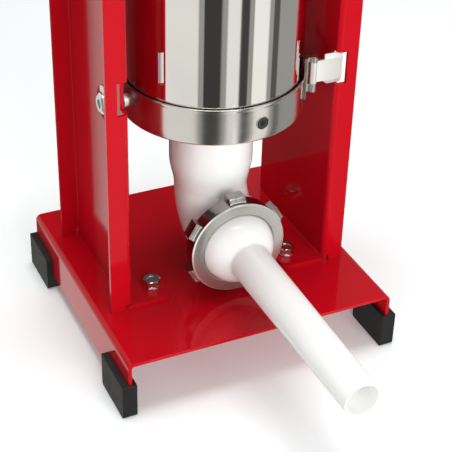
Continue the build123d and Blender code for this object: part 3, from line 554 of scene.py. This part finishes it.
base_fasteners()
pivot_fasteners()


# ---- cup, cylinder and seal ------------------------------------------------------------------------
def upright(x=0.0, y=0.0):
    """Places a shape on an upright line beside the cylinder's axis."""
    return Matrix.Translation((AXIS.x + x, AXIS.y + y, 0))


CUP_RADIUS = (CUP_HIGH.y - CUP_LOW.y) / 2
NECK_HOLE = 34.1 * MM
SCREW_TURN = math.radians(7.0)


def cup():
    """Spun steel pan with a rolled upper rim, a rounded heel and a boss for each pivot screw."""
    mesh = bmesh.new()
    wall, floor_sheet = 1.5 * MM, 2.0 * MM
    low, high = CUP_LOW.z, CUP_HIGH.z
    side_radius = CUP_RADIUS - 0.2 * MM
    outline = [(NECK_HOLE, low, 0.4 * MM), (CUP_RADIUS - 0.4 * MM, low, 2.2 * MM)]
    outline += [(side_radius, low + 8 * MM)]
    outline += [(side_radius, high - 3.0 * MM, 1.0 * MM), (CUP_RADIUS, high - 1.6 * MM, 0.6 * MM)]
    outline += [(CUP_RADIUS, high, 0.7 * MM), (CUP_RADIUS - wall, high, 0.5 * MM)]
    outline += [(CUP_RADIUS - wall, low + floor_sheet, 1.0 * MM), (NECK_HOLE, low + floor_sheet, 0.4 * MM)]
    turned(mesh, rounded(outline, 5), 256, True, upright())
    for side in (-1, 1):
        matrix = spin_matrix((side, 0, 0), (AXIS.x, AXIS.y, PIVOT_Z))
        boss_end = CUP_HIGH.x - AXIS.x
        boss_root = CUP_RADIUS - 1.3 * MM
        boss = [(5.1 * MM, boss_root), (8.0 * MM, boss_root)]
        boss += [(8.0 * MM, boss_end, 0.8 * MM), (5.1 * MM, boss_end, 0.3 * MM)]
        turned(mesh, rounded(boss), 64, True, matrix)
    finish_piece("cup_spun", mesh, "frame", LOOKS["satin_steel"], ["cylinder_cup"], 30)


def cup_screw():
    """Blackened socket screw sunk in the front of the cup, inside a thin bright rim; a black rubber ring round it
    is painted shadow in the clearance, and a flat black disc is painted shade in its socket.
    """
    direction = (math.sin(SCREW_TURN), -math.cos(SCREW_TURN), 0)
    matrix = spin_matrix(direction, (AXIS.x, AXIS.y, PIVOT_Z - 1 * MM))
    face = CUP_RADIUS + 0.25 * MM
    mesh = bmesh.new()
    root = face - 1.6 * MM
    rim = [(4.9 * MM, root), (4.9 * MM, face, 0.2 * MM), (5.5 * MM, face, 0.3 * MM), (5.5 * MM, root)]
    turned(mesh, rounded(rim), 64, True, matrix)
    finish_piece("cup_screw_rim", mesh, "frame", LOOKS["satin_steel"], ["cup_screw"])
    # The first ring is black rubber laid in as painted shadow in the clearance round the screw; the second is the
    # blackened screw itself.
    parts = ((4.9, 4.1, 0.18, "painted_shadow_gap", LOOKS["seal_rubber"]), (4.1, 2.4, 0.10, "core", blackened_steel))
    for outer, inner, depth, label, material in parts:
        ring = bmesh.new()
        front, back = face - depth * MM, face - 1.2 * MM
        outline = [(inner * MM, back), (outer * MM, back)]
        outline += [(outer * MM, front, 0.1 * MM), (inner * MM, front, 0.1 * MM)]
        turned(ring, rounded(outline), 64, True, matrix)
        finish_piece(f"cup_screw_{label}", ring, "frame", material, ["cup_screw"])
    # A flat black disc just under the face, painted shade standing in for the depth of the hex socket.
    socket = bmesh.new()
    turned(socket, [(2.4 * MM, face - 0.16 * MM), (0, face - 0.2 * MM)], 48, False, matrix)
    finish_piece("cup_screw_socket_painted_shade", socket, "frame", LOOKS["seal_rubber"], ["cup_screw"])


def cylinder():
    """Mirror-polished drawn tube with a rolled bead at its top."""
    mesh = bmesh.new()
    inner = CYL_RADIUS - 1 * MM
    top = CYL_HIGH.z
    bead = CYL_RADIUS + 2 * MM
    outline = [(inner, CYL_LOW.z, 0.3 * MM), (CYL_RADIUS, CYL_LOW.z, 0.3 * MM)]
    outline += [(CYL_RADIUS, top - 4.0 * MM, 0.6 * MM), (bead, top - 3.9 * MM, 1.6 * MM)]
    outline += [(bead, top, 1.6 * MM), (inner, top, 0.8 * MM)]
    turned(mesh, rounded(outline, 6), 320, True, upright())
    look = "polished_steel"
    finish_piece("cylinder_polished", mesh, "frame", LOOKS[look], ["cylinder"], 40)


def seal():
    """Rubber seal between the cylinder and its cup, with a small bead that shows as a dark line."""
    low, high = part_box("cylinder_seal")
    outer, inner = (high.x - low.x) / 2, CYL_RADIUS + 0.05 * MM
    floor_inner = 65.0 * MM
    side = outer - 0.1 * MM
    outline = [(floor_inner, low.z, 0.4 * MM), (side, low.z), (side, high.z - 0.8 * MM, 0.3 * MM)]
    outline += [(inner, high.z - 1.2 * MM, 0.3 * MM)]
    outline += [(inner, CYL_LOW.z), (floor_inner, CYL_LOW.z, 0.4 * MM)]
    mesh = bmesh.new()
    turned(mesh, rounded(outline), 192, True, upright())
    finish_piece("seal_moulded", mesh, "frame", LOOKS["seal_rubber"], ["cylinder_seal"])


cup()
cup_screw()
cylinder()
seal()


# ---- elbow, tube and ring nut ----------------------------------------------------------------------
NECK_RADIUS, BEND_TUBE = 33.8 * MM, 29.7 * MM
BEND_RADIUS = 33.0 * MM
OUTLET_FACE = TUBE_HIGH.y


def smooth(share):
    """An eased step from 0 to 1."""
    share = max(0.0, min(1.0, share))
    return share * share * (3 - 2 * share)


def elbow():
    """Blow-moulded elbow: flange, wide neck, soft shoulder, quarter bend and threaded outlet."""
    mesh = bmesh.new()
    corner_z = OUTLET.z + BEND_RADIUS
    top = ELBOW_HIGH.z
    stations = []
    for step in range(25):
        height = top + (corner_z - top) * step / 24
        ease = smooth((152 * MM - height) / (26 * MM))
        radius = NECK_RADIUS + (BEND_TUBE - NECK_RADIUS) * ease
        stations.append((Vector((0, 0, height)), Vector((0, 0, -1)), radius))
    for step in range(1, 25):
        angle = math.pi / 2 * step / 24
        forward, drop = BEND_RADIUS * (1 - math.cos(angle)), BEND_RADIUS * math.sin(angle)
        at = Vector((0, -forward, corner_z - drop))
        swell = 0.5 * MM * math.sin(2 * angle)
        stations.append((at, Vector((0, -math.sin(angle), -math.cos(angle))), BEND_TUBE + swell))
    outlet = OUTLET_FACE - AXIS.y
    for share in (0.5, 1.0):
        at = Vector((0, -BEND_RADIUS + (outlet + BEND_RADIUS) * share, OUTLET.z))
        stations.append((at, Vector((0, -1, 0)), BEND_TUBE))
    skins = []
    for inset in (0, 4.2 * MM):
        rings = []
        for at, direction, radius in stations:
            side = Vector((1, 0, 0))
            up = side.cross(direction)
            ring = []
            for step in range(96):
                angle = 2 * math.pi * step / 96
                offset = side * math.cos(angle) + up * math.sin(angle)
                ring.append(mesh.verts.new(Vector((AXIS.x, AXIS.y, 0)) + at + offset * (radius - inset)))
            rings.append(ring)
        for first, second in zip(rings, rings[1:]):
            bridge(mesh, first, second)
        skins.append(rings)
    bridge(mesh, skins[0][0], skins[1][0])
    bridge(mesh, skins[0][-1], skins[1][-1])
    flange_low = 203.0 * MM
    flange_root, flange_edge = NECK_RADIUS - 1 * MM, 42 * MM
    flange = [(flange_root, flange_low), (flange_edge, flange_low, 0.6 * MM)]
    flange += [(flange_edge, top, 0.6 * MM), (flange_root, top)]
    turned(mesh, rounded(flange), 96, True, upright())
    matrix = spin_matrix((0, -1, 0), (AXIS.x, AXIS.y, OUTLET.z))
    start, end = 36 * MM, -outlet
    collar_root, collar_edge = BEND_TUBE - 1 * MM, NUT_INNER - 1.6 * MM
    collar = [(collar_root, start), (collar_edge, start, 1.0 * MM), (collar_edge, end, 0.5 * MM)]
    collar += [(collar_root, end)]
    turned(mesh, rounded(collar), 96, True, matrix)
    threaded_ring(mesh, NUT_INNER - 0.2 * MM, 1.4 * MM, 3.0 * MM, 37.5 * MM, end - 0.5 * MM, matrix)
    look = "white_plastic"
    finish_piece("elbow_moulded", mesh, "frame", LOOKS[look], ["elbow"], 50)


def threaded_ring(mesh, radius, depth, pitch, low, high, matrix, steps=96):
    """An outside thread round a hollow collar."""
    rows = int((high - low) / pitch * 10)
    rings = []
    for row in range(rows + 1):
        height = low + (high - low) * row / rows
        fade = max(0.0, min(1.0, (height - low) / pitch, (high - height) / pitch))
        ring = []
        for step in range(steps):
            angle = 2 * math.pi * step / steps
            phase = (height / pitch - step / steps) % 1.0
            local = radius - depth + depth * smooth(1.6 - abs(2 * phase - 1) * 2.2) * fade
            ring.append(mesh.verts.new(around(matrix, local, angle, height)))
        rings.append(ring)
    for first, second in zip(rings, rings[1:]):
        bridge(mesh, first, second)


NUT_RADIUS = 40.3 * MM
NUT_INNER = 33.4 * MM
NUT_HOLE = 30.5 * MM
LUG_RADIUS = (NUT_HIGH.z - NUT_LOW.z) / 2


def ring_nut():
    """Cast clamping nut: bevelled front rim carrying a painted highlight in pale steel, a waisted body whose faces
    turned away from the front carry painted shade in a darker steel, and six ribbed lugs.
    """
    mesh = bmesh.new()
    matrix = spin_matrix((0, -1, 0), (AXIS.x, AXIS.y, OUTLET.z))
    back, front = AXIS.y - NUT_HIGH.y, AXIS.y - NUT_LOW.y
    waist = NUT_RADIUS - 1.0 * MM
    body = [(NUT_HOLE, front, 0.7 * MM), (NUT_HOLE, front - 3 * MM, 0.3 * MM)]
    body += [(NUT_INNER, front - 3 * MM), (NUT_INNER, back, 0.6 * MM)]
    body += [(waist, back, 0.8 * MM), (waist, front - 4.6 * MM, 0.6 * MM)]
    body += [(NUT_RADIUS - 0.1 * MM, front - 3.8 * MM, 0.4 * MM)]
    body += [(NUT_RADIUS, front - 1.1 * MM, 0.3 * MM), (NUT_RADIUS - 0.9 * MM, front, 0.3 * MM)]
    turned(mesh, rounded(body, 4), 192, True, matrix)
    for lug in range(6):
        turn = matrix @ Matrix.Rotation(math.pi / 3 * lug + math.pi / 2, 4, "Z")
        nut_lug(mesh, turn, back, front)
    piece = finish_piece("ring_nut_cast", mesh, "ring_nut", nut_steel, ["ring_nut"], 32)
    piece.data.materials.append(nut_painted_shade_steel)
    piece.data.materials.append(pale_steel_and_painted_highlight)
    for face in piece.data.polygons:
        reach = math.hypot(face.center.x - AXIS.x, face.center.z - OUTLET.z)
        # Faces turned away from the front take the darker steel as painted shade.
        if face.normal.y > -0.45:
            face.material_index = 1
        # The rim's bevel takes the pale steel as a painted highlight.
        elif face.normal.y > -0.95 and NUT_RADIUS - 1.2 * MM < reach < NUT_RADIUS + 0.5 * MM:
            face.material_index = 2


def nut_lug(mesh, matrix, back, front):
    """One lug: a block across the nut's edge whose front falls to the rim in ribbed steps."""
    half = 7.0 * MM
    top = LUG_RADIUS
    root = NUT_RADIUS - 3 * MM
    profile = [(root, back), (top - 0.2 * MM, back), (top, back + 0.4 * MM), (top, front - 5.9 * MM)]
    rib = 1.5 * MM
    for step in range(3):
        radius = top - 0.3 * MM - step * rib * 0.82
        height = front - 5.6 * MM + step * 0.75 * MM
        profile += [(radius - 0.15 * MM, height), (radius - 0.65 * MM, height + 0.28 * MM)]
        profile += [(radius - 1.05 * MM, height + 0.15 * MM)]
    profile += [(NUT_RADIUS - 0.6 * MM, front - 3.6 * MM), (root, front - 3.6 * MM)]
    sides = []
    for across in (-half, -half + 0.5 * MM, half - 0.5 * MM, half):
        inset = 0.45 * MM if abs(across) == half else 0.0
        ring = []
        for radius, height in profile:
            shrink = inset if radius > NUT_RADIUS else 0.0
            outward = math.sqrt(max((radius - shrink) ** 2 - across ** 2, 0))
            ring.append(mesh.verts.new(matrix @ Vector((outward, across, height))))
        sides.append(ring)
    for first, second in zip(sides, sides[1:]):
        bridge(mesh, first, second)
    mesh.faces.new(sides[0])
    mesh.faces.new(sides[-1])


SHOULDER_RADIUS, SHOULDER_LENGTH = 29.9 * MM, 26.0 * MM
SHOULDER_STEPS, SHOULDER_REACH = 48, 42.0 * MM
TUBE_ROOT, TUBE_TIP, TUBE_WALL = 16.6 * MM, 14.3 * MM, 2.0 * MM


def shoulder(distance, length):
    """Radius at a distance in front of the nozzle's flange: an elliptical dome that blends into the taper."""
    dome = SHOULDER_RADIUS * math.sqrt(max(1 - (distance / SHOULDER_LENGTH) ** 2, 0))
    taper = TUBE_ROOT + (TUBE_TIP - TUBE_ROOT) * distance / length
    sharpness = 5.0
    blend = (dome ** sharpness + taper ** sharpness) ** (1 / sharpness)
    return min(blend, SHOULDER_RADIUS)


def stuffing_tube():
    """Nozzle with a domed shoulder that flows into a long, slightly tapered tube with a rounded lip."""
    mesh = bmesh.new()
    matrix = spin_matrix((0, -1, 0), (AXIS.x, AXIS.y, OUTLET.z))
    face, tip = AXIS.y - TUBE_HIGH.y, AXIS.y - TUBE_LOW.y
    flange_front = face + 3 * MM
    tip_radius, wall = TUBE_TIP, TUBE_WALL
    distances = [SHOULDER_REACH * step / SHOULDER_STEPS for step in range(SHOULDER_STEPS + 1)]
    outer = [(shoulder(distance, tip - flange_front), flange_front + distance) for distance in distances]
    inner = [(radius - wall, height - wall * 0.3) for radius, height in reversed(outer)]
    lip = [(tip_radius, tip - 0.6 * MM), (tip_radius - 0.2 * MM, tip - 0.15 * MM)]
    lip += [(tip_radius - 0.6 * MM, tip)]
    lip += [(tip_radius - wall + 0.4 * MM, tip), (tip_radius - wall, tip - 0.5 * MM)]
    outline = [(32.6 * MM, face), (32.6 * MM, flange_front)] + outer + lip + inner + [(28.0 * MM, face)]
    turned(mesh, outline, 128, True, matrix)
    look = "white_plastic"
    finish_piece("stuffing_tube_moulded", mesh, "frame", LOOKS[look], ["stuffing_tube"], 40)


elbow()
ring_nut()
stuffing_tube()


# ---- latch -----------------------------------------------------------------------------------------
HINGE = joint_place("latch_swing")
PLATE_LOW, PLATE_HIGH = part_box("latch_plate")
UPRIGHT_SHEET = Matrix(((1, 0, 0, 0), (0, 0, 1, 0), (0, 1, 0, 0), (0, 0, 0, 1)))
KNUCKLE_RADIUS, KNUCKLE_BORE = 2.6 * MM, 1.36 * MM


def knuckle(mesh, low, high):
    """A hinge knuckle round the latch's pin."""
    outline = [(KNUCKLE_BORE, low), (KNUCKLE_RADIUS, low, 0.3 * MM)]
    outline += [(KNUCKLE_RADIUS, high, 0.3 * MM), (KNUCKLE_BORE, high)]
    turned(mesh, rounded(outline), 40, True, Matrix.Translation((HINGE.x, HINGE.y, 0)))


def latch():
    """Pressed latch plate: rolled eye, flat arm, and a head whose two lips are bent back a little."""
    thick, bend = 2.0 * MM, math.radians(14)
    arm_low, arm_high = PLATE_LOW.z + 3.4 * MM, PLATE_HIGH.z - 4.4 * MM
    neck, right = HINGE.x + 9.4 * MM, PLATE_HIGH.x
    mesh = bmesh.new()
    left = HINGE.x + 1.8 * MM
    arm = [(left, arm_low), (right, arm_low), (right, arm_high), (left, arm_high)]
    prism(mesh, arm, HINGE.y, HINGE.y + thick, UPRIGHT_SHEET)
    rise, fall = PLATE_HIGH.z - arm_high, PLATE_LOW.z - arm_low
    upper = [(neck, 0), (right, 0), (right, rise), (neck + 0.6 * MM, rise)]
    lower = [(neck - 0.8 * MM, 0), (neck + 3 * MM, fall), (right - 1 * MM, fall), (right, 0)]
    for lip, level, turn in ((upper, arm_high, bend), (lower, arm_low, -bend)):
        place = Matrix.Translation((0, HINGE.y, level)) @ Matrix.Rotation(-turn, 4, "X") @ UPRIGHT_SHEET
        prism(mesh, lip, 0, thick, place)
    knuckle(mesh, arm_low, arm_high)
    piece = finish_piece("latch_plate_pressed", mesh, "latch", pale_steel_and_painted_highlight, ["latch_plate"], 30)
    soften(piece, 0.25 * MM, 2, 40)


def latch_bracket():
    """Curved strip on the cup with a slanted top, two hinge knuckles on short webs, and the hinge pin."""
    low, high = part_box("latch_bracket")
    reach = math.hypot(HINGE.x - AXIS.x, HINGE.y - AXIS.y)
    turn = math.atan2(HINGE.y - AXIS.y, HINGE.x - AXIS.x)
    half, steps = 11.0 * MM, 16
    slant_from, slope = -6.0 * MM, math.tan(math.radians(22))
    mesh = bmesh.new()
    rings = []
    for step in range(steps + 1):
        across = -half + 2 * half * step / steps
        top = high.z - max(across - slant_from, 0) * slope
        angle = turn + math.asin(across / CUP_RADIUS)
        ring = []
        for radius, level in ((0, low.z), (0, top), (2 * MM, top), (2 * MM, low.z)):
            at = CUP_RADIUS + radius
            ring.append(mesh.verts.new((AXIS.x + at * math.cos(angle), AXIS.y + at * math.sin(angle), level)))
        rings.append(ring)
    for first, second in zip(rings, rings[1:]):
        bridge(mesh, first, second)
    mesh.faces.new(rings[0])
    mesh.faces.new(rings[-1])
    place = Matrix.Translation((AXIS.x, AXIS.y, 0)) @ Matrix.Rotation(turn, 4, "Z")
    arm_low, arm_high = PLATE_LOW.z + 3.2 * MM, PLATE_HIGH.z - 4.2 * MM
    for level_low, level_high in ((low.z + 2 * MM, arm_low), (arm_high, high.z - 3 * MM)):
        knuckle(mesh, level_low, level_high)
        web = [(CUP_RADIUS + 1 * MM, -1.6 * MM), (reach - 1.6 * MM, -1.6 * MM), (reach - 1.6 * MM, 1.6 * MM)]
        prism(mesh, web + [(CUP_RADIUS + 1 * MM, 1.6 * MM)], level_low, level_high, place)
    look = "satin_steel"
    piece = finish_piece("latch_bracket_pressed", mesh, "frame", LOOKS[look], ["latch_bracket"], 30)
    soften(piece, 0.2 * MM, 2, 40)
    pin_low, pin_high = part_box("latch_pin")
    pin = bmesh.new()
    radius = (pin_high.x - pin_low.x) / 2
    outline = [(0, pin_low.z), (radius, pin_low.z, 0.3 * MM)]
    outline += [(radius, pin_high.z, 0.5 * MM), (0, pin_high.z)]
    turned(pin, rounded(outline), 32, False, Matrix.Translation((HINGE.x, HINGE.y, 0)))
    finish_piece("latch_pin_turned", pin, "frame", LOOKS["satin_steel"], ["latch_pin"])


latch()
latch_bracket()


# ---- floor, light and camera -----------------------------------------------------------------------
def floor():
    """A plain pale floor with a faint, even glow of its own."""
    mesh = bmesh.new()
    bmesh.ops.create_grid(mesh, x_segments=1, y_segments=1, size=30)
    data = bpy.data.meshes.new("floor")
    mesh.to_mesh(data)
    mesh.free()
    plane = bpy.data.objects.new("floor", data)
    bpy.context.scene.collection.objects.link(plane)
    look = Nodes("pale_floor")
    look.set(Base_Color=(0.92, 0.955, 0.955, 1), Roughness=0.9, Specular_IOR_Level=0.1)
    look.set(Emission_Color=(1, 1, 1, 1), Emission_Strength=FLOOR_GLOW)
    data.materials.append(look.material)
    plane.visible_glossy = False


# A light tent for polished steel: an even grey screen with a few bright soft boxes and dark flags hung in it.
TENT_RADIUS, TENT_LOW, TENT_HIGH = 270 * MM, -0.8, 1.1
TENT_PLAIN = 0.35
PANEL_FADE = 1.0
PANELS = {                                      # name: (from, to, brightness), in degrees about the cylinder
    "left_soft_box": (-175, -130, 0.85),
    "camera_flag": (-125, -105, 0.05),
    "front_soft_box": (-100, -85, 0.9),
    "front_flag": (-85, -75, 0.06),
    "right_soft_box": (-70, -50, 1.0),
    "right_flag": (-45, -35, 0.1),
    "rear_flag": (60, 125, 0.08),
    "rear_soft_box": (125, 165, 0.95),
}


def tent():
    """A glowing screen round the machine that only mirror reflections see, with upright panels in it."""
    mesh = bmesh.new()
    turned(mesh, [(TENT_RADIUS, TENT_LOW), (TENT_RADIUS, TENT_HIGH)], 360, False, upright())
    data = bpy.data.meshes.new("light_tent")
    mesh.to_mesh(data)
    mesh.free()
    screen = bpy.data.objects.new("light_tent", data)
    bpy.context.scene.collection.objects.link(screen)
    look = Nodes("light_tent")
    offset = look.add("ShaderNodeVectorMath", "SUBTRACT")
    offset.inputs[1].default_value = (AXIS.x, AXIS.y, 0)
    look.link(look.place, offset.inputs[0])
    parts = look.add("ShaderNodeSeparateXYZ")
    look.link(offset.outputs["Vector"], parts.inputs["Vector"])
    angle = look.add("ShaderNodeMath", "ARCTAN2")
    look.link(parts.outputs["Y"], angle.inputs[0])
    look.link(parts.outputs["X"], angle.inputs[1])
    share = look.spread(angle.outputs["Value"], 0.0, 1.0, -math.pi, math.pi)
    stops = []
    for start, end, level in PANELS.values():
        corners = [(start, TENT_PLAIN), (start + PANEL_FADE, level)]
        corners += [(end - PANEL_FADE, level), (end, TENT_PLAIN)]
        for turn, brightness in corners:
            stops.append(((turn + 180) / 360, (brightness, brightness * 0.985, brightness * 0.95)))
    glow = look.add("ShaderNodeEmission")
    look.link(look.colours(share, stops), glow.inputs["Color"])
    look.link(glow.outputs["Emission"], look.tree.nodes["Material Output"].inputs["Surface"])
    data.materials.append(look.material)
    screen.visible_camera = False
    screen.visible_diffuse = False
    screen.visible_shadow = False
    screen.visible_transmission = False


def lamp(name, at, target, size, power):
    """A square soft box aimed at a point."""
    data = bpy.data.lights.new(name, "AREA")
    data.size = size
    data.energy = power
    box = bpy.data.objects.new(name, data)
    box.location = at
    box.rotation_euler = (Vector(target) - Vector(at)).to_track_quat("-Z", "Y").to_euler()
    bpy.context.scene.collection.objects.link(box)
    return box


def studio():
    """Pale surroundings, a soft box overhead and a large soft box low in front."""
    world = bpy.data.worlds.new("studio")
    world.use_nodes = True
    background = world.node_tree.nodes["Background"]
    background.inputs["Color"].default_value = (1.0, 1.0, 1.0, 1)
    background.inputs["Strength"].default_value = WORLD_STRENGTH
    bpy.context.scene.world = world
    for name, offset, size, power in LAMPS:
        lamp(name, (AXIS.x + offset[0], AXIS.y + offset[1], offset[2]), (AXIS.x, AXIS.y, 0.15), size, power)


WORLD_STRENGTH, FLOOR_GLOW = 0.34, 0.10
LAMPS = (
    ("overhead", (0.0, 0.1, 2.0), 1.0, 26.0),
    ("front", (0.05, -1.7, 0.75), 1.1, 22.0),
)
CAMERA_OFFSET = Vector((-0.379, -0.820, 0.680))          # from the cylinder's axis at floor level
CAMERA_AZIMUTH, CAMERA_ELEVATION, CAMERA_ROLL = -25.7, 33.5, 1.7
CAMERA_LENS = 103


def camera():
    """The camera at the photograph's viewing angle."""
    azimuth, elevation, roll = (math.radians(v) for v in (CAMERA_AZIMUTH, CAMERA_ELEVATION, CAMERA_ROLL))
    back = Vector((
        math.sin(azimuth) * math.cos(elevation),
        -math.cos(azimuth) * math.cos(elevation),
        math.sin(elevation),
    ))
    right = (-back).cross(Vector((0, 0, 1))).normalized()
    up = right.cross(-back)
    tilted_right = right * math.cos(roll) + up * math.sin(roll)
    tilted_up = up * math.cos(roll) - right * math.sin(roll)
    data = bpy.data.cameras.new("camera")
    data.lens = CAMERA_LENS
    data.sensor_width = 36
    view = bpy.data.objects.new("camera", data)
    turn = Matrix((tilted_right, tilted_up, back)).transposed().to_4x4()
    view.matrix_world = Matrix.Translation(Vector((AXIS.x, AXIS.y, 0)) + CAMERA_OFFSET) @ turn
    bpy.context.scene.collection.objects.link(view)
    bpy.context.scene.camera = view


floor()
tent()
studio()
camera()
bpy.context.scene.view_settings.view_transform = "Standard"
